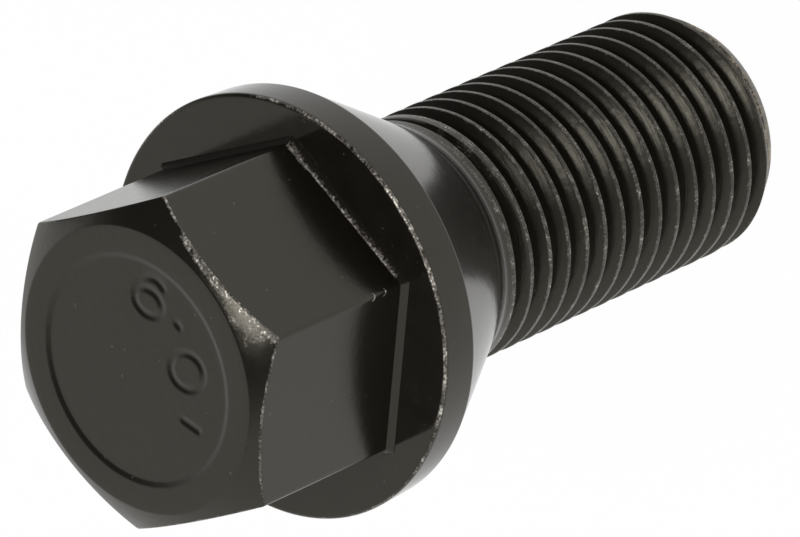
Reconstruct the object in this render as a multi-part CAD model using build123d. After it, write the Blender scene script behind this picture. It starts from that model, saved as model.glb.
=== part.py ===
from build123d import *
import os
from math import atan, ceil, cos, degrees, radians, tan

# Wheel bolt, forged and thread-rolled as one piece, in millimetres and degrees.
# It stands on its thread end: +Z runs up the axis to the head, and the origin is the middle of the end face.

# Hexagon head
across_flats = 16.75
hex_height = 10.8              # flange to the head's face
hex_edge_radius = 0.25         # rounding of the six upright edges
corner_chamfer_angle = 30.0    # corner chamfer, from the plane of the head's face
face_inset = 0.58              # flats to the round flat of the head's face
foot_strip = 0.34              # 45 degree strip where the hexagon meets the flange

# Round recess in the head's face
face_rim = 1.45                # flat ring left around the recess
recess_depth = 0.15
recess_wall_angle = 20.0       # slope of its wall, from the plane of the head's face

# Flange
flange_margin = 1.95           # flange beyond the corners of the hexagon
flange_thickness = 2.3
flange_draft_angle = 3.0       # the flange's edge narrows towards the seat
flange_edge_break = 0.15       # small chamfer on the rim beside the hexagon

# Cone seat and the plain neck under it
seat_cone_angle = 60.0         # whole angle of the cone
neck_length = 0.55             # end of the thread's run-out to the cone

# Metric thread, right-handed
thread_diameter = 13.85        # across the crests
thread_pitch = 1.5
thread_length = 22.48          # end face to the end of the run-out
thread_flank_angle = 60.0      # between the two flanks of the groove
crest_width = 0.32             # flat on top of the rolled thread, along the axis
thread_depth = 0.86            # crest to the bottom of the groove, on the radius
root_depth = 0.4               # bottom part of that, where two flatter strips round the groove out
runout_turns = 0.25            # last part of a turn, where the groove rises out of the metal
runout_end_angle = 60.0        # where the run-out ends, from +X

# Point at the thread end
point_length = 1.5             # chamfer that leads the thread into its hole
point_margin = 0.08            # end face inside the thread's root, on the radius

# How far a cutting tool reaches past the surface that it cuts
cut_clearance = 0.1

# Radii
corner_radius = across_flats / 2 / cos(radians(30))
face_radius = across_flats / 2 - face_inset
recess_radius = face_radius - face_rim
recess_slope = tan(radians(recess_wall_angle))
flange_radius = corner_radius + flange_margin
flange_rear_radius = flange_radius - flange_thickness * tan(radians(flange_draft_angle))
thread_radius = thread_diameter / 2
half_flank = tan(radians(thread_flank_angle / 2))
root_radius = thread_radius - thread_depth
point_radius = root_radius - point_margin

# Half widths of the thread's groove, at its crests and above its rounded root
groove_half = (thread_pitch - crest_width) / 2
root_half = groove_half - (thread_depth - root_depth) * half_flank

# Heights above the end face
runout_height = runout_turns * thread_pitch
full_thread_top = thread_length - runout_height
cone_foot = thread_length + neck_length
flange_bottom = cone_foot + (flange_rear_radius - thread_radius) / tan(radians(seat_cone_angle / 2))
flange_top = flange_bottom + flange_thickness
head_top = flange_top + hex_height


def turned(*outline):
    """Solid of revolution about Z from an outline of (radius, height) points."""
    return revolve(Plane.XZ * make_face(Polyline(*outline, close=True)), Axis.Z)


def turned_body():
    """Point, thread blank, neck, cone seat and flange, as one turned blank."""
    rim = (flange_radius, flange_top)
    outline = make_face(Polyline(
        (0, 0),
        (point_radius, 0),
        (thread_radius, point_length),
        (thread_radius, cone_foot),
        (flange_rear_radius, flange_bottom),
        rim,
        (0, flange_top),
        close=True,
    ))
    outline = chamfer(outline.vertices().sort_by_distance(rim)[0], flange_edge_break)
    return revolve(Plane.XZ * outline, Axis.Z)


def hexagon(half_flats):
    """Hexagon that has two of its corners on the Y axis."""
    return RegularPolygon(half_flats, 6, major_radius=False, rotation=30)


def hexagon_head():
    """Hexagon with rounded upright edges, chamfered corners, a sloping foot and the recess in its face."""
    half_flats = across_flats / 2
    prism = extrude(hexagon(half_flats), hex_height)
    prism = fillet(prism.edges().filter_by(Axis.Z), hex_edge_radius)
    foot = extrude(hexagon(half_flats + foot_strip), foot_strip, taper=45)
    head = Pos(0, 0, flange_top) * (prism + foot)

    reach = corner_radius + flange_margin
    chamfer_drop = (reach - face_radius) * tan(radians(corner_chamfer_angle))
    corner_cone = turned(
        (0, flange_top),
        (reach, flange_top),
        (reach, head_top - chamfer_drop),
        (face_radius, head_top),
        (0, head_top),
    )
    recess_floor = head_top - recess_depth
    recess = turned(
        (0, recess_floor),
        (recess_radius - recess_depth / recess_slope, recess_floor),
        (recess_radius + cut_clearance / recess_slope, head_top + cut_clearance),
        (0, head_top + cut_clearance),
    )
    return (head & corner_cone) - recess


def groove_sweep(path):
    """Tool with the groove's section, which follows its root along a helix from the +X side."""
    outer_radius = thread_radius + cut_clearance
    outer_half = groove_half + cut_clearance * half_flank
    section = make_face(Plane.XZ * Polyline(
        (root_radius, 0),
        (root_radius + root_depth, root_half),
        (outer_radius, outer_half),
        (outer_radius, -outer_half),
        (root_radius + root_depth, -root_half),
        close=True,
    ))
    return sweep(section, path, is_frenet=True)


def cut_thread(blank):
    """Blank with the helical groove cut turn by turn from below its end face, and the run-out after them."""
    runout_place = Pos(0, 0, full_thread_top) * Rot(0, 0, runout_end_angle - 360 * runout_turns)
    turn = groove_sweep(Helix(thread_pitch, thread_pitch, root_radius))
    full_turns = ceil(full_thread_top / thread_pitch) + 1
    for number in range(full_turns):
        blank = blank - Pos(0, 0, -(number + 1) * thread_pitch) * runout_place * turn

    rise = thread_depth + cut_clearance
    rise_angle = degrees(atan(rise / runout_height))
    runout = groove_sweep(Helix(thread_pitch, runout_height, root_radius, cone_angle=rise_angle))
    return blank - runout_place * runout


wheel_bolt = cut_thread(turned_body()) + hexagon_head()

os.makedirs("parts", exist_ok=True)
export_step(wheel_bolt, "parts/wheel_bolt.step")
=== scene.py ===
"""Looks of a black wheel bolt around its CAD frame, with a white studio and the photograph's camera."""

import logging
import math
from dataclasses import dataclass, field
from enum import Enum

import bmesh
import bpy
from mathutils import Matrix, Quaternion, Vector, noise


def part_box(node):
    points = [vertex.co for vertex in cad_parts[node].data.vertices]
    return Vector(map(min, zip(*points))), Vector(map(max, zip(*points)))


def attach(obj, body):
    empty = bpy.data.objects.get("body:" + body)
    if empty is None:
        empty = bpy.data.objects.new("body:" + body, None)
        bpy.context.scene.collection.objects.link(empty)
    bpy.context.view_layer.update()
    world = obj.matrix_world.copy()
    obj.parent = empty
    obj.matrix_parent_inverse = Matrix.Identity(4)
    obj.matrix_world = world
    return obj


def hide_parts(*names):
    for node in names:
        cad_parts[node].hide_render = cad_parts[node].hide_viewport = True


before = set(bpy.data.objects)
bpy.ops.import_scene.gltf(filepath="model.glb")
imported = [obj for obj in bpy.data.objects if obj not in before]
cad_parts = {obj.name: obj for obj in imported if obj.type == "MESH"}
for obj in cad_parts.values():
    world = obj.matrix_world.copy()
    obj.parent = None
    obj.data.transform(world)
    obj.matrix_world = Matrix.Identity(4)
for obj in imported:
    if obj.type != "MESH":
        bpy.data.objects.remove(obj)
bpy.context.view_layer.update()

NODE = "wheel_bolt"
BODY = "root"
MM = 0.001

Pair = tuple[float, float]
Place = tuple[float, float, float]
Socket = bpy.types.NodeSocket
Tree = bpy.types.NodeTree

log = logging.getLogger("wheel_bolt")


class Attr(Enum):
    """Vertex attributes that the skins carry."""

    WEAR = "wear"
    COLUMN = "column"


class Curve(Enum):
    """Ways from one end of a ramp to the other."""

    STRAIGHT = "LINEAR"
    SOFT = "SMOOTHSTEP"


def linear(hex_colour: str) -> tuple[float, float, float, float]:
    """Turn an sRGB hex colour into linear light.

    Args:
        hex_colour: Colour such as "#3a3834".

    Returns:
        Red, green, blue and an alpha of one.
    """
    channels = [int(hex_colour[i:i + 2], 16) / 255 for i in (1, 3, 5)]
    light = [c / 12.92 if c <= 0.04045 else ((c + 0.055) / 1.055) ** 2.4 for c in channels]
    return light[0], light[1], light[2], 1.0


def add_node(tree: Tree, kind: str, settings: dict | None = None,
             inputs: dict | None = None) -> bpy.types.Node:
    """Add a node with its settings, its input values and its links.

    Args:
        tree: Node tree that takes the node.
        kind: Node type, such as "ShaderNodeMath".
        settings: Properties of the node by name.
        inputs: Input sockets by name or number, each with a value or an output socket to link from.

    Returns:
        The new node.
    """
    node = tree.nodes.new(kind)
    for name, value in (settings or {}).items():
        setattr(node, name, value)
    for name, value in (inputs or {}).items():
        if isinstance(value, Socket):
            tree.links.new(value, node.inputs[name])
        else:
            node.inputs[name].default_value = value
    return node


def maths(tree: Tree, operation: str, *values: Socket | float) -> Socket:
    """Result of a math node on values or sockets."""
    return add_node(tree, "ShaderNodeMath", {"operation": operation}, dict(enumerate(values))).outputs[0]


def ramp(tree: Tree, value: Socket, span: Pair, result: Pair = (0.0, 1.0),
         curve: Curve = Curve.STRAIGHT) -> Socket:
    """Map a span of values onto a span of results, and hold both ends.

    Args:
        tree: Node tree that takes the node.
        value: Value to map.
        span: Values at which the ramp starts and ends.
        result: Results at those two values.
        curve: Way from the one to the other.

    Returns:
        The mapped value.
    """
    settings = {"clamp": True, "interpolation_type": curve.value}
    ends = {"From Min": span[0], "From Max": span[1], "To Min": result[0], "To Max": result[1]}
    return add_node(tree, "ShaderNodeMapRange", settings, {"Value": value, **ends}).outputs[0]


def blend(tree: Tree, share: Socket, first: Socket | tuple, second: Socket | tuple) -> Socket:
    """Mix of two colours, from the first at a share of zero to the second at one."""
    inputs = {"Factor": share, 6: first, 7: second}
    return add_node(tree, "ShaderNodeMix", {"data_type": "RGBA"}, inputs).outputs[2]


def speckle(tree: Tree, place: Socket, size: float, detail: float = 2.0, grain: float = 0.5) -> Socket:
    """Add noise that is the same in all directions.

    Args:
        tree: Node tree that takes the node.
        place: Place on the bolt.
        size: Size of the noise, in millimetres.
        detail: Number of its finer layers.
        grain: Strength of those layers.

    Returns:
        The noise, from zero to one.
    """
    inputs = {"Vector": place, "Scale": 1 / (size * MM), "Detail": detail, "Roughness": grain}
    return add_node(tree, "ShaderNodeTexNoise", {"noise_dimensions": "3D"}, inputs).outputs["Fac"]


def deselect() -> None:
    """Leave no object selected, so that an operator acts on the next new piece alone."""
    if bpy.context.object and bpy.context.object.mode != "OBJECT":
        bpy.ops.object.mode_set(mode="OBJECT")
    bpy.ops.object.select_all(action="DESELECT")


def ease(value: float, low: float, high: float) -> float:
    """Smooth step of a value from zero at low to one at high."""
    t = min(max((value - low) / (high - low), 0.0), 1.0)
    return t * t * (3 - 2 * t)


def rounded(corners: list[Place], segments: int) -> list[Pair]:
    """Round the corners of an open outline.

    Args:
        corners: Points as (x, y, radius of the rounding); a radius of zero keeps the point as it is.
        segments: Straight pieces in each rounding.

    Returns:
        Points of the rounded outline, the same number for the same corners.
    """
    points = [corners[0][:2]]
    for before, corner, after in zip(corners, corners[1:], corners[2:]):
        if corner[2] == 0:
            points.append(corner[:2])
            continue
        here = Vector(corner[:2])
        back = (Vector(before[:2]) - here).normalized()
        ahead = (Vector(after[:2]) - here).normalized()
        half = back.angle(ahead) / 2
        reach = corner[2] / math.tan(half)
        middle = here + (back + ahead).normalized() * (corner[2] / math.sin(half))
        start = here + back * reach - middle
        turn = start.angle_signed(here + ahead * reach - middle)
        for i in range(segments + 1):
            swing = Matrix.Rotation(-turn * i / segments, 2)
            points.append(tuple(middle + swing @ start))
    points.append(corners[-1][:2])
    return points


def offsets(profile: list[Pair], corner: Pair) -> list[float]:
    """Distances along a profile from the point of it that is nearest to a corner.

    Args:
        profile: Points of the profile.
        corner: The corner, which may lie just off a rounded profile.

    Returns:
        One distance for each point, below zero before the corner.
    """
    lengths = [0.0]
    for before, after in zip(profile, profile[1:]):
        lengths.append(lengths[-1] + math.dist(before, after))
    nearest = min(range(len(profile)), key=lambda i: math.dist(profile[i], corner))
    return [length - lengths[nearest] for length in lengths]


def to_polyline(point: Pair, line: list[Pair]) -> float:
    """Distance of a point from a line of straight pieces.

    Args:
        point: The point.
        line: Ends of the pieces, in order, no two of them in one place.

    Returns:
        Distance to the nearest place on the line.
    """
    best = math.inf
    for (ax, ay), (bx, by) in zip(line, line[1:]):
        dx, dy = bx - ax, by - ay
        along = ((point[0] - ax) * dx + (point[1] - ay) * dy) / (dx * dx + dy * dy)
        along = min(max(along, 0.0), 1.0)
        best = min(best, math.hypot(point[0] - ax - along * dx, point[1] - ay - along * dy))
    return best


def arc(middle: Pair, half_width: float, half_height: float, start: float, end: float,
        piece: float = 15.0) -> list[Pair]:
    """Part of an ellipse as a line of short pieces.

    Args:
        middle: Middle of the ellipse, to the right and upwards.
        half_width: Half of its width.
        half_height: Half of its height.
        start: First angle in degrees, counter-clockwise from the right.
        end: Last angle in degrees.
        piece: About the angle of one piece, in degrees.

    Returns:
        Points along the ellipse.
    """
    pieces = round(abs(end - start) / piece)
    angles = [math.radians(start + (end - start) * i / pieces) for i in range(pieces + 1)]
    return [(middle[0] + half_width * math.cos(a), middle[1] + half_height * math.sin(a)) for a in angles]


@dataclass
class Skin:
    """Closed skin drawn ring by ring: a circle of edges is added and then extruded once for each ring."""

    name: str
    columns: int
    smooth_angle: float = 28.0
    rings: int = 0

    def ring(self, points: list[Vector], wear: list[float]) -> None:
        """Add the next ring of the skin.

        Args:
            points: Places of the ring's vertices, in metres, one for each column.
            wear: How worn each vertex is, from zero to one.
        """
        if self.rings == 0:
            deselect()
            bpy.ops.mesh.primitive_circle_add(vertices=self.columns, radius=MM, enter_editmode=True)
        else:
            bpy.ops.mesh.extrude_edges_indiv()
        mesh = bmesh.from_edit_mesh(bpy.context.object.data)
        if self.rings == 0:
            mesh.verts.layers.float.new(Attr.WEAR.value)
            column = mesh.verts.layers.int.new(Attr.COLUMN.value)
            for number, vertex in enumerate(mesh.verts):
                vertex[column] = number
        column = mesh.verts.layers.int[Attr.COLUMN.value]
        worn = mesh.verts.layers.float[Attr.WEAR.value]
        for vertex in mesh.verts:
            if vertex.select:
                vertex.co = points[vertex[column]]
                vertex[worn] = wear[vertex[column]]
        bmesh.update_edit_mesh(bpy.context.object.data)
        self.rings += 1

    def close(self) -> bpy.types.Object:
        """Fill the first and the last ring, and point the faces outwards.

        Returns:
            The finished object, at the origin.
        """
        bpy.ops.mesh.select_all(action="DESELECT")
        bpy.ops.mesh.select_non_manifold(extend=False, use_wire=False, use_multi_face=False,
                                         use_non_contiguous=False, use_verts=False)
        bpy.ops.mesh.edge_face_add()
        bpy.ops.mesh.select_all(action="SELECT")
        bpy.ops.mesh.normals_make_consistent(inside=False)
        bpy.ops.object.mode_set(mode="OBJECT")
        piece = bpy.context.object
        piece.name = piece.data.name = self.name
        piece.data.attributes.remove(piece.data.attributes[Attr.COLUMN.value])
        bpy.ops.object.transform_apply(location=True, rotation=True, scale=True)
        bpy.ops.object.shade_smooth_by_angle(angle=math.radians(self.smooth_angle))
        return piece


@dataclass(frozen=True)
class NickHighlight:
    """Painted highlight on a dent that a blow left: a crescent of bare-steel colour where the dent's far wall
    would catch the lamp, while the dent itself is not modelled; a disc less the same disc a little aside, in
    millimetres.

    The disc's border and the bite that the second disc takes are soft, in shares of the radius.
    """

    place: Place
    aside: Place
    radius: float
    amount: float
    border: Pair = (1.0, 0.85)
    bite: Pair = (0.85, 1.1)

    def crescent(self, tree: Tree, place: Socket) -> Socket:
        """Where the painted highlight crescent is.

        Args:
            tree: Node tree of the material.
            place: Place on the bolt.

        Returns:
            One inside the crescent and zero outside.
        """
        shares = []
        for centre, fade in ((self.place, self.border), (self.aside, self.bite)):
            away = add_node(tree, "ShaderNodeVectorMath", {"operation": "DISTANCE"},
                            {0: place, 1: Vector(centre) * MM}).outputs["Value"]
            shares.append(ramp(tree, away, (fade[0] * self.radius * MM, fade[1] * self.radius * MM)))
        return maths(tree, "MULTIPLY", *shares)


@dataclass(frozen=True)
class BlackCoat:
    """Black zinc flake on steel: a thin smooth coat, dark in itself and glossy where it mirrors the room.

    It lies on forged steel, which keeps a faint orange peel, and its shine is a little warm. Where a spanner
    or a wheel has rubbed it, the coat is thin and grey, with broken chips of bright steel. Sizes are in
    millimetres.
    """

    name: str
    colour: str = "#141310"
    dusty: str = "#1c1a16"
    dust: str = "#5d594f"
    thinned: str = "#7d7773"
    steel: str = "#d2cec3"
    rust: str = "#a39887"
    rust_film: str = "#5f554a"
    shine: str = "#fff9e4"
    roughness: float = 0.19
    gloss_spread: float = 0.03
    steel_roughness: float = 0.45
    steel_metallic: float = 0.6
    coat_ior: float = 1.5
    cloud_size: float = 6.0
    speck_size: float = 0.35
    dust_span: Pair = (0.78, 0.81)
    dust_most: float = 0.6
    chip_size: float = 0.14
    patch_size: float = 0.7
    patch_span: Pair = (0.3, 0.7)
    patch_share: float = 0.7
    patch_level: float = 0.35
    thin_span: Pair = (1.2, 1.48)
    thin_most: float = 0.8
    bare_span: Pair = (1.47, 1.63)
    rust_top: float = 2.4
    rust_full: float = 1.44
    peel_size: float = 0.5
    pit_depth: float = 2.0
    streak_length: float = 2.5
    streak_width: float = 0.07
    streaks: float = 0.0
    relief: float = 0.14
    relief_height: float = 0.05
    # Painted highlight crescents of dents, which show through the wear as bare steel.
    nick_highlights: tuple[NickHighlight, ...] = ()

    def rubbed(self, tree: Tree, place: Socket, chips: Socket, patches: Socket) -> tuple[Socket, Socket]:
        """Break up the worn edges where two sizes of noise agree with how much an edge was rubbed.

        Args:
            tree: Node tree of the material.
            place: Place on the bolt.
            chips: Fine noise.
            patches: Coarse noise.

        Returns:
            How far the coat is thinned, and where it shows bare steel, from wear and from painted highlights.
        """
        worn = add_node(tree, "ShaderNodeAttribute", {"attribute_name": Attr.WEAR.value}).outputs["Fac"]
        # Painted highlight crescents of dents join the wear here and show as bare steel.
        for nick_highlight in self.nick_highlights:
            worn = maths(tree, "MULTIPLY_ADD", nick_highlight.crescent(tree, place), nick_highlight.amount, worn)
        level = self.patch_level - self.patch_share / 2
        broken = maths(tree, "ADD", maths(tree, "MULTIPLY_ADD", patches, self.patch_share, level), chips)
        total = maths(tree, "ADD", worn, broken)
        return ramp(tree, total, self.thin_span, (0.0, self.thin_most)), ramp(tree, total, self.bare_span)

    def seen(self, tree: Tree, place: Socket, thin: Socket, bare: Socket) -> Socket:
        """Colour the coat, its thinned places and the bare steel.

        Args:
            tree: Node tree of the material.
            place: Place on the bolt.
            thin: How far the coat is thinned.
            bare: Where the steel is bare.

        Returns:
            The colour.
        """
        # Coat: two near blacks in wide clouds, with a few pale specks of dust.
        clouds = speckle(tree, place, self.cloud_size, detail=3.0)
        specks = speckle(tree, place, self.speck_size, detail=1.0, grain=0.4)
        coat = blend(tree, clouds, linear(self.colour), linear(self.dusty))
        coat = blend(tree, ramp(tree, specks, self.dust_span, (0.0, self.dust_most)), coat, linear(self.dust))

        # Thinned coat and bare steel: grey, and brown with rust near the thread end.
        height = add_node(tree, "ShaderNodeSeparateXYZ", inputs={"Vector": place}).outputs["Z"]
        rusty = ramp(tree, height, (self.rust_top * MM, self.rust_full * MM))
        film = blend(tree, rusty, linear(self.thinned), linear(self.rust_film))
        metal = blend(tree, rusty, linear(self.steel), linear(self.rust))
        return blend(tree, bare, blend(tree, thin, coat, film), metal)

    def gloss(self, tree: Tree, thin: Socket, patches: Socket) -> Socket:
        """Make the coat a little unevenly glossy, and dull where it is thin.

        Args:
            tree: Node tree of the material.
            thin: How far the coat is thinned.
            patches: Coarse noise.

        Returns:
            The roughness.
        """
        uneven = ramp(tree, patches, self.patch_span, (self.roughness, self.roughness + self.gloss_spread))
        inputs = {0: thin, 2: uneven, 3: self.steel_roughness}
        return add_node(tree, "ShaderNodeMix", {"data_type": "FLOAT"}, inputs).outputs[0]

    def surface(self, tree: Tree, place: Socket, chips: Socket, bare: Socket) -> Socket:
        """Give the coat orange peel, the bare steel pits and a thread the fine streaks of its rolling dies.

        Args:
            tree: Node tree of the material.
            place: Place on the bolt.
            chips: Fine noise.
            bare: Where the steel is bare.

        Returns:
            The normal.
        """
        streak = Vector((self.streak_length, self.streak_length, self.streak_width)) * MM
        stretched = add_node(tree, "ShaderNodeVectorMath", {"operation": "DIVIDE"}, {0: place, 1: streak})
        drawn = add_node(tree, "ShaderNodeTexNoise", {"noise_dimensions": "3D"},
                         {"Vector": stretched.outputs[0], "Scale": 1.0, "Detail": 2.0})
        peel = speckle(tree, place, self.peel_size)
        lined = maths(tree, "MULTIPLY_ADD", drawn.outputs["Fac"], self.streaks, peel)
        pitted = maths(tree, "MULTIPLY_ADD", maths(tree, "MULTIPLY", bare, chips), -self.pit_depth, lined)
        inputs = {"Strength": self.relief, "Distance": self.relief_height * MM, "Height": pitted}
        return add_node(tree, "ShaderNodeBump", inputs=inputs).outputs["Normal"]

    def material(self) -> bpy.types.Material:
        """Make the material with its coat, its worn chips and its few specks of dust.

        Returns:
            The new material.
        """
        made = bpy.data.materials.new(self.name)
        made.use_nodes = True
        tree = made.node_tree
        place = add_node(tree, "ShaderNodeTexCoord").outputs["Object"]
        chips = speckle(tree, place, self.chip_size)
        patches = speckle(tree, place, self.patch_size)
        thin, bare = self.rubbed(tree, place, chips, patches)
        looks = {
            "Base Color": self.seen(tree, place, thin, bare),
            "Roughness": self.gloss(tree, thin, patches),
            "Metallic": maths(tree, "MULTIPLY", bare, self.steel_metallic),
            "Normal": self.surface(tree, place, chips, bare),
        }
        shader = tree.nodes["Principled BSDF"]
        shader.inputs["IOR"].default_value = self.coat_ior
        shader.inputs["Specular Tint"].default_value = linear(self.shine)
        for name, look in looks.items():
            tree.links.new(look, shader.inputs[name])
        return made


@dataclass
class Datums:
    """Heights and radii that the pieces share, in millimetres, from the CAD box and a few driving sizes."""

    hex_height: float = 10.8
    flange_thickness: float = 2.3
    flange_draft: float = 3.0
    thread_radius: float = 6.925
    seat_half_angle: float = 30.0
    head_top: float = field(init=False)
    flange_top: float = field(init=False)
    flange_bottom: float = field(init=False)
    flange_radius: float = field(init=False)
    flange_rear_radius: float = field(init=False)
    cone_foot: float = field(init=False)

    def __post_init__(self) -> None:
        """Take the outer sizes from the CAD node's box."""
        low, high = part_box(NODE)
        self.head_top = high[2] / MM
        self.flange_top = self.head_top - self.hex_height
        self.flange_bottom = self.flange_top - self.flange_thickness
        self.flange_radius = (high[0] - low[0]) / 2 / MM
        narrowing = self.flange_thickness * math.tan(math.radians(self.flange_draft))
        self.flange_rear_radius = self.flange_radius - narrowing
        rise = (self.flange_rear_radius - self.thread_radius) / math.tan(math.radians(self.seat_half_angle))
        self.cone_foot = self.flange_bottom - rise


@dataclass(frozen=True)
class EdgeWear:
    """Stretch of an edge where the coat is rubbed off, by direction in degrees and reach in millimetres.

    The reach to either side of the edge is given at the start and at the end of the stretch. The wear dies
    out over a small share of the stretch at each end, and beyond the full share of its reach.
    """

    start: float
    end: float
    before: Pair
    after: Pair
    amount: float
    end_share: float = 0.04
    full_share: float = 0.55

    def at(self, angle: float, offset: float) -> float:
        """How worn the coat is.

        Args:
            angle: Direction from +X, in degrees.
            offset: Distance across the edge, below zero on its upper side.

        Returns:
            Wear from zero to the stretch's amount.
        """
        along = (angle - self.start) / (self.end - self.start)
        if not 0 <= along <= 1:
            return 0.0
        first, last = self.before if offset < 0 else self.after
        reach = first + (last - first) * along
        taper = ease(along, 0.0, self.end_share) * (1 - ease(along, 1 - self.end_share, 1.0))
        return self.amount * taper * (1 - ease(abs(offset), self.full_share * reach, reach))


@dataclass
class StrengthMark:
    """Strength class in plain numerals, stamped into the recess floor round the axis, in millimetres."""

    depth: float = 0.055
    half_stroke: float = 0.3
    half_bottom: float = 0.03
    reach: float = 1.9

    def strokes(self) -> list[tuple[float, float, list[list[Pair]]]]:
        """Draw the signs.

        Returns:
            Each sign's distance and direction from the axis, and its strokes with their top towards the axis.
        """
        one = [[(-0.12, 0.52), (0.12, -0.52)]]
        zero = [arc((0, 0), 1.0, 1.14, 0, 360)]
        point = [[(-0.1, 0.0), (0.1, 0.0)]]
        nine = [arc((0.06, 0.42), 0.95, 0.72, 0, 360), arc((-0.1, 0.3), 1.14, 1.35, 0, -125)]
        return [(4.2, -143.0, one), (3.55, -99.4, zero), (4.35, -64.8, point), (4.5, -36.0, nine)]

    def depth_at(self, x: float, y: float) -> float:
        """Depth of the stamping at a place on the floor.

        Args:
            x: Place along X.
            y: Place along Y.

        Returns:
            Depth below the floor.
        """
        deepest = 0.0
        for radius, angle, lines in self.strokes():
            turn = math.radians(angle)
            dx = x - radius * math.cos(turn)
            dy = y - radius * math.sin(turn)
            if math.hypot(dx, dy) > self.reach:
                continue
            place = (dy * math.cos(turn) - dx * math.sin(turn), -dx * math.cos(turn) - dy * math.sin(turn))
            near = min(to_polyline(place, line) for line in lines)
            deepest = max(deepest, self.depth * (1 - ease(near, self.half_bottom, self.half_stroke)))
        return deepest


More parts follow.
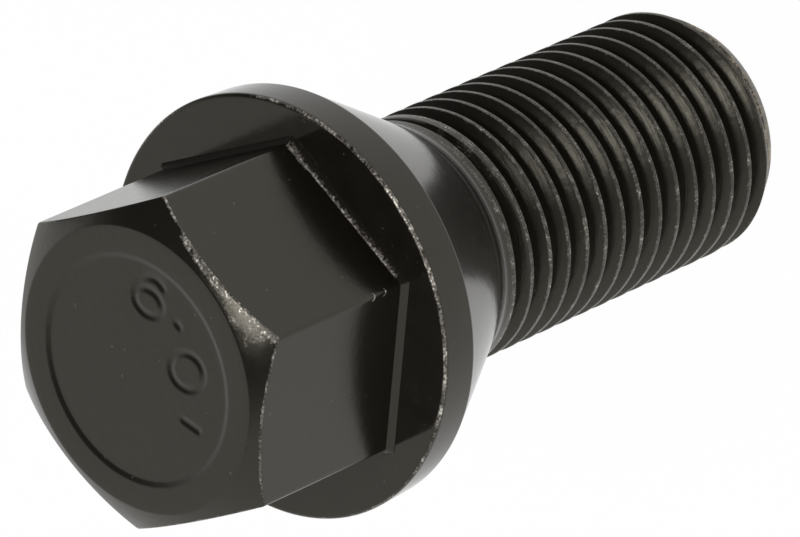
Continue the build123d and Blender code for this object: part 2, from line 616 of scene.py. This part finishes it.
@dataclass
class HexHead:
    """Hexagon with chamfered corners, a sloping foot and a stamped recess in its face, in millimetres."""

    datums: Datums
    mark: StrengthMark
    across_flats: float = 16.75
    upright_radius: float = 0.25
    chamfer_angles: Pair = (24.0, 36.0)
    face_inset: float = 0.58
    face_rim: float = 1.45
    recess_depth: float = 0.08
    recess_wall_angle: float = 16.0
    foot_strip: float = 0.34

    # Roundings, each from the inside out.
    recess_roundings: Pair = (0.5, 0.6)
    face_rounding: float = 0.25
    edge_rounding: float = 0.1
    foot_roundings: Pair = (0.05, 0.03)

    # Where the skin's rings and columns lie: close together where a shape or the wear is fine.
    hub_radius: float = 0.2
    mark_start: float = 1.6
    mark_margin: float = 0.4
    mark_rings: int = 48
    face_ring: float = 0.3
    chamfer_rings: int = 9
    wall_drops: tuple[float, ...] = (0.16, 0.26, 0.4, 0.7, 1.5)
    wall_rises: tuple[float, ...] = (0.6, 0.25, 0.12)
    tuck: Pair = (0.3, 0.05)
    segments: int = 4
    flat_columns: int = 44
    corner_columns: int = 6

    top_edge_wear_and_painted_reflection: tuple[EdgeWear, ...] = (
        EdgeWear(-29, -46, (0.16, 0.16), (0.08, 0.1), 0.6),
        EdgeWear(-42, -66, (0.4, 0.55), (0.1, 0.14), 0.57),
        # Over -55 to -92 degrees, and up to 2.2 mm onto the chamfer between -64 and -90, the wear at the
        # corner at -Y is partly a thinned coat and partly a painted reflection of the overhead lamp.
        EdgeWear(-55, -92, (0.45, 0.65), (0.14, 0.2), 0.6),
        EdgeWear(-64, -90, (0.5, 2.2), (0.05, 0.05), 0.43),
        EdgeWear(-90, -150, (0.1, 0.14), (0.1, 0.12), 0.46),
        EdgeWear(-150, -180, (0.12, 0.14), (0.1, 0.12), 0.46),
        EdgeWear(180, 14, (0.14, 0.14), (0.12, 0.1), 0.46),
    )
    foot_wear: tuple[EdgeWear, ...] = (
        EdgeWear(-31, -89, (0.14, 0.06), (0.48, 0.22), 0.6),
        EdgeWear(-30, -44, (0.3, 0.1), (0.5, 0.45), 0.64),
    )

    def outline(self) -> list[Pair]:
        """Go round the hexagon with its rounded upright edges.

        Returns:
            Angle and radius of each column.
        """
        half = self.across_flats / 2
        centre = (half - self.upright_radius) / math.cos(math.radians(30))
        columns = []
        for side in range(6):
            corner = math.radians(-90 + 60 * side)
            middle = Vector((math.cos(corner), math.sin(corner))) * centre
            for i in range(self.corner_columns + 1):
                swing = corner + math.radians(-30 + 60 * i / self.corner_columns)
                columns.append(middle + Vector((math.cos(swing), math.sin(swing))) * self.upright_radius)
            following = corner + math.radians(60)
            ahead = Vector((math.cos(following), math.sin(following))) * centre
            normal = corner + math.radians(30)
            lift = Vector((math.cos(normal), math.sin(normal))) * self.upright_radius
            for i in range(1, self.flat_columns):
                columns.append(middle.lerp(ahead, i / self.flat_columns) + lift)
        return [(math.atan2(c.y, c.x), c.length) for c in columns]

    def floor_edge(self) -> float:
        """Radius at which the recess's floor meets its sloping wall."""
        recess = self.across_flats / 2 - self.face_inset - self.face_rim
        return recess - self.recess_depth / math.tan(math.radians(self.recess_wall_angle))

    def crown(self, radius: float) -> float:
        """Follow the corner chamfer, which steepens a little from the face to the corners.

        Args:
            radius: Distance from the axis.

        Returns:
            Height of the chamfer there.
        """
        flattest, steepest = (math.tan(math.radians(angle)) for angle in self.chamfer_angles)
        face = self.across_flats / 2 - self.face_inset
        widest = self.across_flats / 2 / math.cos(math.radians(30)) - face
        out = radius - face
        return self.datums.head_top - flattest * out - (steepest - flattest) * out * out / (2 * widest)

    def corners(self, hex_radius: float) -> tuple[Pair, Pair]:
        """Chamfer edge and foot edge of the profile, at a column of that radius."""
        return (hex_radius, self.crown(hex_radius)), (hex_radius, self.datums.flange_top + self.foot_strip)

    def profile(self, hex_radius: float) -> list[Pair]:
        """Outline from the middle of the recess to the flange.

        Args:
            hex_radius: The hexagon's radius at the column.

        Returns:
            Points as (radius, height), the same number for each column.
        """
        half = self.across_flats / 2
        top = self.datums.head_top
        face = half - self.face_inset
        floor = top - self.recess_depth
        inner = self.floor_edge()
        (_, edge), (_, foot) = self.corners(hex_radius)
        spread = hex_radius * (half + self.foot_strip) / half
        marked = inner - self.mark_margin - self.mark_start
        stamped = [self.mark_start + marked * i / self.mark_rings for i in range(self.mark_rings + 1)]
        sloping = [face + (hex_radius - face) * i / self.chamfer_rings for i in range(1, self.chamfer_rings)]
        return rounded([
            (self.hub_radius, floor, 0),
            *[(radius, floor, 0) for radius in stamped],
            (inner, floor, self.recess_roundings[0]),
            (face - self.face_rim, top, self.recess_roundings[1]),
            (face - self.face_ring, top, 0),
            (face, top, self.face_rounding),
            *[(radius, self.crown(radius), 0) for radius in sloping],
            (hex_radius, edge, self.edge_rounding),
            *[(hex_radius, edge - drop, 0) for drop in self.wall_drops],
            *[(hex_radius, foot + rise, 0) for rise in self.wall_rises],
            (hex_radius, foot, self.foot_roundings[0]),
            (spread, self.datums.flange_top, self.foot_roundings[1]),
            (spread - self.tuck[0], self.datums.flange_top - self.tuck[1], 0),
        ], self.segments)

    def build(self) -> bpy.types.Object:
        """Draw the head's skin from the recess out and down to the flange.

        Returns:
            The head.
        """
        columns = self.outline()
        profiles = [self.profile(radius) for _, radius in columns]
        across = [[offsets(profile, corner) for corner in self.corners(radius)]
                  for profile, (_, radius) in zip(profiles, columns)]
        stamped = self.floor_edge() - self.mark_margin / 2
        skin = Skin("hexagon_head", len(columns))
        for step in range(len(profiles[0])):
            points = []
            wear = []
            for (angle, _), profile, (top_offsets, foot_offsets) in zip(columns, profiles, across):
                radius, height = profile[step]
                turn = math.degrees(angle)
                x, y = radius * math.cos(angle), radius * math.sin(angle)
                if radius < stamped:
                    height -= self.mark.depth_at(x, y)
                points.append(Vector((x, y, height)) * MM)
                worn = [stretch.at(turn, top_offsets[step]) for stretch in self.top_edge_wear_and_painted_reflection]
                worn += [stretch.at(turn, foot_offsets[step]) for stretch in self.foot_wear]
                wear.append(max(worn))
            skin.ring(points, wear)
        return skin.close()


@dataclass
class FlangeAndSeat:
    """Round flange, the cone seat under it and the hollow that leads into the neck, in millimetres."""

    datums: Datums
    rim_radius: float = 0.2
    rear_rim_radius: float = 0.3
    hollow_radius: float = 1.1
    neck: float = 0.3

    # Where the skin's rings and columns lie: close together at the worn rim.
    inner_radius: float = 6.0
    rim_insets: tuple[float, ...] = (1.2, 0.6, 0.4, 0.3)
    rim_drops: tuple[float, ...] = (0.3, 0.4, 0.8)
    segments: int = 6
    columns: int = 240

    rim_wear: tuple[EdgeWear, ...] = (
        EdgeWear(-14, -62, (0.12, 0.2), (0.1, 0.18), 0.52),
        EdgeWear(-58, -135, (0.2, 0.16), (0.18, 0.12), 0.58),
        EdgeWear(-132, -180, (0.14, 0.12), (0.12, 0.1), 0.48),
        EdgeWear(180, 8, (0.12, 0.14), (0.1, 0.12), 0.48),
    )

    def profile(self) -> list[Pair]:
        """Outline from under the hexagon, over the flange's rims and down the cone to the neck.

        Returns:
            Points as (radius, height).
        """
        d = self.datums
        draft = math.tan(math.radians(d.flange_draft))
        return rounded([
            (self.inner_radius, d.flange_top, 0),
            *[(d.flange_radius - inset, d.flange_top, 0) for inset in self.rim_insets],
            (d.flange_radius, d.flange_top, self.rim_radius),
            *[(d.flange_radius - drop * draft, d.flange_top - drop, 0) for drop in self.rim_drops],
            (d.flange_rear_radius, d.flange_bottom, self.rear_rim_radius),
            (d.thread_radius, d.cone_foot, self.hollow_radius),
            (d.thread_radius, d.cone_foot - self.neck, 0),
        ], self.segments)

    def build(self) -> bpy.types.Object:
        """Draw the skin of the flange and the seat.

        Returns:
            The flange with its seat.
        """
        profile = self.profile()
        across = offsets(profile, (self.datums.flange_radius, self.datums.flange_top))
        skin = Skin("flange_and_seat", self.columns)
        for (radius, height), offset in zip(profile, across):
            points = []
            wear = []
            for column in range(self.columns):
                angle = 2 * math.pi * column / self.columns - math.pi
                points.append(Vector((radius * math.cos(angle), radius * math.sin(angle), height)) * MM)
                wear.append(max(stretch.at(math.degrees(angle), offset) for stretch in self.rim_wear))
            skin.ring(points, wear)
        return skin.close()


@dataclass
class ThreadedShank:
    """Rolled right-hand thread with its run-out and its chamfered point, in millimetres and degrees.

    Its crests and roots are rounded, and its flanks swell a little, as rolling leaves them.
    """

    datums: Datums
    pitch: float = 1.5
    depth: float = 0.86
    crest_width: float = 0.27
    flank_angle: float = 60.0
    crest_radius: float = 0.08
    root_radius: float = 0.14
    swell: float = 0.035
    swell_place: float = 0.42
    swell_radius: float = 2.5
    neck: float = 0.3

    # Run-out: the groove grows shallow over the last part of a turn and ends just past the crests.
    full_top: float = 22.005
    runout_turns: float = 0.25
    runout_end: float = 60.0
    rise_turns: float = 0.6
    rise_past_crest: float = 0.1

    # Point: the chamfer that leads the thread in, with a shallow first turn.
    point_length: float = 1.5
    point_radius: float = 5.985
    first_groove: float = 0.03
    first_turn: float = 0.7

    # Uneven rolling: slow ripples, finer and stronger at the end.
    ripple: float = 0.012
    ripple_rate: float = 0.9
    end_ripple: float = 2.0

    # Wear on the crests, on the run-out and on the end. Each span is where it comes or goes.
    crest_band: float = 0.06
    crest_wear: float = 0.37
    neck_span: Pair = (17.0, 22.0)
    neck_wear: float = 0.06
    fleck_rise: Pair = (0.15, 0.45)
    fleck_fall: Pair = (0.5, 0.85)
    flecks: float = 0.8
    end_span: Pair = (1.1, 1.9)
    end_wear: float = 0.62

    steps: int = 120
    segments: int = 4
    smooth_angle: float = 50.0
    weld: float = 0.002
    cut_tolerance: float = 0.0005

    def root_height(self, angle: float) -> float:
        """Height of a groove's root at an angle in degrees, up to whole pitches."""
        start = self.runout_end - 360 * self.runout_turns
        return self.full_top + self.pitch * (angle - start) / 360

    def section(self) -> list[Pair]:
        """One pitch of the thread from crest to crest.

        Returns:
            Points as (height from the root, radius).
        """
        crest = self.datums.thread_radius - self.ripple
        lean = math.radians(self.flank_angle / 2)
        half = self.pitch / 2
        edge = (self.pitch - self.crest_width) / 2
        root = edge - self.depth * math.tan(lean)
        inset = edge - self.swell_place * (edge - root) - self.swell * math.cos(lean)
        middle = crest - self.swell_place * self.depth + self.swell * math.sin(lean)
        return rounded([
            (-half, crest, 0),
            (-edge, crest, self.crest_radius),
            (-inset, middle, self.swell_radius),
            (-root, crest - self.depth, self.root_radius),
            (root, crest - self.depth, self.root_radius),
            (inset, middle, self.swell_radius),
            (edge, crest, self.crest_radius),
            (half, crest, 0),
        ], self.segments)

    def sweep(self) -> bpy.types.Object:
        """Turn the section about the axis with a screw modifier, from under the end face to the neck.

        Returns:
            The turns, still open and too long at both ends.
        """
        turns = math.ceil(self.datums.cone_foot / self.pitch) + 2
        base = self.root_height(0.0)
        base -= self.pitch * math.ceil((base + self.pitch) / self.pitch)
        rows = [(radius * MM, 0.0, (base + height) * MM) for height, radius in self.section()]
        mesh = bpy.data.meshes.new("threaded_shank")
        mesh.from_pydata(rows, [(i, i + 1) for i in range(len(rows) - 1)], [])
        piece = bpy.data.objects.new("threaded_shank", mesh)
        bpy.context.collection.objects.link(piece)
        deselect()
        bpy.context.view_layer.objects.active = piece
        piece.select_set(True)
        screw = piece.modifiers.new("turns", "SCREW")
        screw.axis = "Z"
        screw.angle = 2 * math.pi
        screw.screw_offset = self.pitch * MM
        screw.iterations = turns
        screw.steps = screw.render_steps = self.steps
        screw.use_normal_calculate = True
        bpy.ops.object.modifier_apply(modifier=screw.name)
        return piece

    def trim(self) -> None:
        """Close the turns into one skin and cut it level at the end face and at the neck."""
        bpy.ops.object.mode_set(mode="EDIT")
        bpy.ops.mesh.select_all(action="SELECT")
        bpy.ops.mesh.remove_doubles(threshold=self.weld * MM)
        for height, below in ((0.0, True), (self.datums.cone_foot - self.neck, False)):
            bpy.ops.mesh.select_all(action="SELECT")
            bpy.ops.mesh.bisect(plane_co=(0, 0, height * MM), plane_no=(0, 0, 1), use_fill=True,
                                clear_inner=below, clear_outer=not below, threshold=self.cut_tolerance * MM)
        bpy.ops.object.mode_set(mode="OBJECT")

    def shape(self, piece: bpy.types.Object) -> None:
        """Raise the groove out of the metal at the run-out, turn the point and mark the worn crests.

        Args:
            piece: The trimmed thread.
        """
        crest = self.datums.thread_radius
        runout_top = self.full_top + self.runout_turns * self.pitch
        rise_foot = runout_top - self.rise_turns * self.pitch
        mesh = bmesh.new()
        mesh.from_mesh(piece.data)
        worn = mesh.verts.layers.float.new(Attr.WEAR.value)
        for vertex in mesh.verts:
            x, y, z = vertex.co / MM
            radius = math.hypot(x, y)
            root = self.root_height(math.degrees(math.atan2(y, x)))
            root += self.pitch * round((z - root) / self.pitch)
            fade = ease(root, rise_foot, runout_top)
            near_end = 1 - ease(z, *self.end_span)

            ripple = self.ripple * (1 - fade) * (1 + self.end_ripple * near_end)
            ripple *= noise.noise(Vector((x, y, z)) * (self.ripple_rate + near_end))
            raised = min(crest, radius + fade * (self.depth + self.rise_past_crest) + ripple)
            taper = min(crest, self.point_radius + (crest - self.point_radius) * z / self.point_length)
            shallow = taper - self.first_groove - self.depth * ease(z, self.first_turn, self.point_length)
            shaped = min(max(raised, shallow), taper)

            flecked = self.flecks * ease(fade, *self.fleck_rise) * (1 - ease(fade, *self.fleck_fall))
            near_crest = max(ease(radius, crest - self.crest_band, crest - self.crest_band / 2), flecked)
            rubbed = near_crest * (self.crest_wear + self.neck_wear * ease(z, *self.neck_span))
            vertex[worn] = max(rubbed, self.end_wear * near_end)
            vertex.co.x *= shaped / radius
            vertex.co.y *= shaped / radius
        bmesh.ops.recalc_face_normals(mesh, faces=mesh.faces)
        mesh.to_mesh(piece.data)
        mesh.free()

    def build(self) -> bpy.types.Object:
        """Sweep, trim and shape the thread.

        Returns:
            The thread with its point.
        """
        piece = self.sweep()
        self.trim()
        self.shape(piece)
        bpy.ops.object.shade_smooth_by_angle(angle=math.radians(self.smooth_angle))
        return piece


@dataclass
class Bolt:
    """The whole bolt: pieces drawn one by one and joined, because the real one is forged in one piece.

    Sizes are in millimetres. The painted highlight crescents of two dents lie one above the other on the
    hexagon's corner at -Y.
    """

    datums: Datums
    # Painted highlight crescents of two dents: their heights, radius, the shift of the biting disc and
    # strength.
    nick_heights: tuple[float, ...] = (35.8, 34.95)
    nick_radius: float = 0.29
    nick_shift: Pair = (0.06, 0.13)
    nick_highlight_amount: float = 0.75
    corner_reach: float = 9.63

    def nick_highlights(self) -> tuple[NickHighlight, ...]:
        """Set the painted highlight crescents of the dents on the corner.

        Returns:
            The painted highlight crescents, from the top down.
        """
        right, up = self.nick_shift
        return tuple(
            NickHighlight((0, -self.corner_reach, height), (right, -self.corner_reach, height + up),
                 self.nick_radius, self.nick_highlight_amount)
            for height in self.nick_heights)

    def coats(self) -> tuple[BlackCoat, BlackCoat, BlackCoat]:
        """Choose the finishes.

        Returns:
            Finishes of the head, of the flange with its seat and of the thread.
        """
        # The forged head mirrors the room softly: each flat takes one tone, with a faint orange peel in it.
        # The head also carries the painted highlight crescents of two dents on the corner at -Y.
        head = BlackCoat("black_zinc_flake_on_forged_steel", nick_highlights=self.nick_highlights())
        # The turned seat is the smoothest: its bright reflections end clearly, between small clouds of dust.
        seat = BlackCoat("black_zinc_flake_on_turned_seat", dusty="#24211d", roughness=0.1, coat_ior=1.46,
                         relief=0.06, patch_share=0.9, cloud_size=1.4, gloss_spread=0.03)
        # The rolled thread is duller and streaked along its turns, under crests with broken pale lines.
        thread = BlackCoat("black_zinc_flake_on_rolled_thread", roughness=0.32, chip_size=0.12,
                           patch_share=0.85, relief=0.4, streaks=0.6)
        return head, seat, thread

    def build(self) -> bpy.types.Object:
        """Build, dress and join the pieces, and let the result stand for the CAD node.

        Returns:
            The dressed bolt.
        """
        d = self.datums
        makers = (HexHead(d, StrengthMark()), FlangeAndSeat(d), ThreadedShank(d))
        pieces = []
        for maker, coat in zip(makers, self.coats()):
            piece = maker.build()
            piece.data.materials.clear()
            piece.data.materials.append(coat.material())
            log.info("%s: %d vertices", piece.name, len(piece.data.vertices))
            pieces.append(piece)
        deselect()
        for piece in pieces:
            piece.select_set(True)
        bpy.context.view_layer.objects.active = pieces[0]
        bpy.ops.object.join()
        bolt = bpy.context.object
        bolt.name = bolt.data.name = "wheel_bolt_dressed"
        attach(bolt, BODY)
        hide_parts(NODE)
        return bolt


@dataclass(frozen=True)
class DarkEnd:
    """Part of the room without white walls: its direction, the cosines of its soft border and its light."""

    towards: Place
    border: Pair
    share: float


@dataclass
class Studio:
    """White floor and room, a soft lamp and the photograph's camera, in millimetres and degrees.

    The camera's aim is a place across the axis and a distance down from the head's face.
    """

    datums: Datums
    azimuth: float = 8.98
    elevation: float = 43.876
    roll: float = -114.09
    distance: float = 525.94
    aim_across: Pair = (-0.742, -0.117)
    aim_down: float = 20.047
    lens: float = 450.0
    sensor: float = 36.0
    light_colour: str = "#ffffff"
    room_strength: float = 0.9
    dark_ends: tuple[DarkEnd, ...] = (
        DarkEnd((0.51, -0.17, 0.84), (0.36, 0.7), 0.1),
        DarkEnd((0.7, 0.7, 0.1), (0.9, 0.97), 0.1),
    )
    floor_size: float = 600.0
    floor_colour: str = "#f2f2f0"
    floor_glow: float = 0.985
    lamp_place: Place = (153.0, -290.0, 970.0)
    lamp_size: float = 340.0
    lamp_watts: float = 3.9

    def floor(self) -> None:
        """Lay the white floor, which shows white to the camera and in reflections and keeps a soft shadow."""
        deselect()
        bpy.ops.mesh.primitive_plane_add(size=self.floor_size * MM)
        floor = bpy.context.object
        floor.name = "floor"
        # White paper: plain matt white to the light, and an even glow where it is seen.
        paper = bpy.data.materials.new("white_paper_sweep")
        paper.use_nodes = True
        tree = paper.node_tree
        tree.nodes.clear()
        ray = add_node(tree, "ShaderNodeLightPath")
        seen = maths(tree, "MAXIMUM", ray.outputs["Is Camera Ray"], ray.outputs["Is Glossy Ray"])
        seen = maths(tree, "MAXIMUM", seen, ray.outputs["Is Transmission Ray"])
        share = maths(tree, "MULTIPLY", seen, self.floor_glow)
        paint = add_node(tree, "ShaderNodeBsdfDiffuse", inputs={"Color": linear(self.floor_colour)})
        glow = add_node(tree, "ShaderNodeEmission",
                        inputs={"Color": linear(self.light_colour), "Strength": 1.0})
        mixed = add_node(tree, "ShaderNodeMixShader",
                         inputs={0: share, 1: paint.outputs[0], 2: glow.outputs[0]})
        add_node(tree, "ShaderNodeOutputMaterial", inputs={"Surface": mixed.outputs[0]})
        floor.data.materials.append(paper)

    def room(self) -> None:
        """Light the room evenly but for its dark ends, and show it white behind the bolt."""
        world = bpy.context.scene.world or bpy.data.worlds.new("room")
        bpy.context.scene.world = world
        world.use_nodes = True
        tree = world.node_tree
        background = tree.nodes["Background"]
        background.inputs["Color"].default_value = linear(self.light_colour)
        ray = add_node(tree, "ShaderNodeLightPath")
        look = add_node(tree, "ShaderNodeTexCoord")
        level = self.room_strength
        for end in self.dark_ends:
            facing = add_node(tree, "ShaderNodeVectorMath", {"operation": "DOT_PRODUCT"},
                              {0: look.outputs["Generated"], 1: end.towards}).outputs["Value"]
            share = ramp(tree, facing, end.border, (1.0, end.share), Curve.SOFT)
            level = maths(tree, "MULTIPLY", level, share)
        shown = add_node(tree, "ShaderNodeMix", {"data_type": "FLOAT"},
                         {0: ray.outputs["Is Camera Ray"], 2: level, 3: 1.0})
        tree.links.new(shown.outputs[0], background.inputs["Strength"])

    def lamp(self) -> None:
        """Hang a square soft lamp that faces the bolt."""
        light = bpy.data.lights.new("overhead_softbox", "AREA")
        light.shape = "SQUARE"
        light.size = self.lamp_size * MM
        light.energy = self.lamp_watts
        lamp = bpy.data.objects.new("overhead_softbox", light)
        lamp.location = Vector(self.lamp_place) * MM
        aim = Vector((0, 0, self.datums.head_top / 2)) * MM - lamp.location
        lamp.rotation_euler = aim.to_track_quat("-Z", "Y").to_euler()
        bpy.context.scene.collection.objects.link(lamp)

    def back(self) -> Vector:
        """Find where the camera stands.

        Returns:
            Direction from the bolt to the camera.
        """
        azimuth = math.radians(self.azimuth)
        elevation = math.radians(self.elevation)
        return Vector((math.sin(azimuth) * math.cos(elevation), -math.cos(azimuth) * math.cos(elevation),
                       math.sin(elevation)))

    def camera(self) -> None:
        """Set the photograph's camera, turned on its side so that the standing bolt lies in the picture."""
        back = self.back()
        target = Vector((*self.aim_across, self.datums.head_top - self.aim_down))
        data = bpy.data.cameras.new("photo_camera")
        data.lens = self.lens
        data.sensor_width = self.sensor
        camera = bpy.data.objects.new("photo_camera", data)
        camera.location = (target + back * self.distance) * MM
        camera.rotation_mode = "QUATERNION"
        roll = Quaternion((0, 0, 1), math.radians(self.roll))
        camera.rotation_quaternion = back.to_track_quat("Z", "Y") @ roll
        bpy.context.scene.collection.objects.link(camera)
        bpy.context.scene.camera = camera

    def build(self) -> None:
        """Set the floor, the room, the lamp and the camera."""
        self.floor()
        self.room()
        self.lamp()
        self.camera()
        bpy.context.scene.view_settings.view_transform = "Standard"


def main() -> None:
    """Build the bolt and the studio."""
    logging.basicConfig(level=logging.INFO, format="%(name)s: %(message)s")
    datums = Datums()
    bolt = Bolt(datums).build()
    log.info("%s: %d faces", bolt.name, len(bolt.data.polygons))
    Studio(datums).build()


if __name__ == "__main__":
    main()
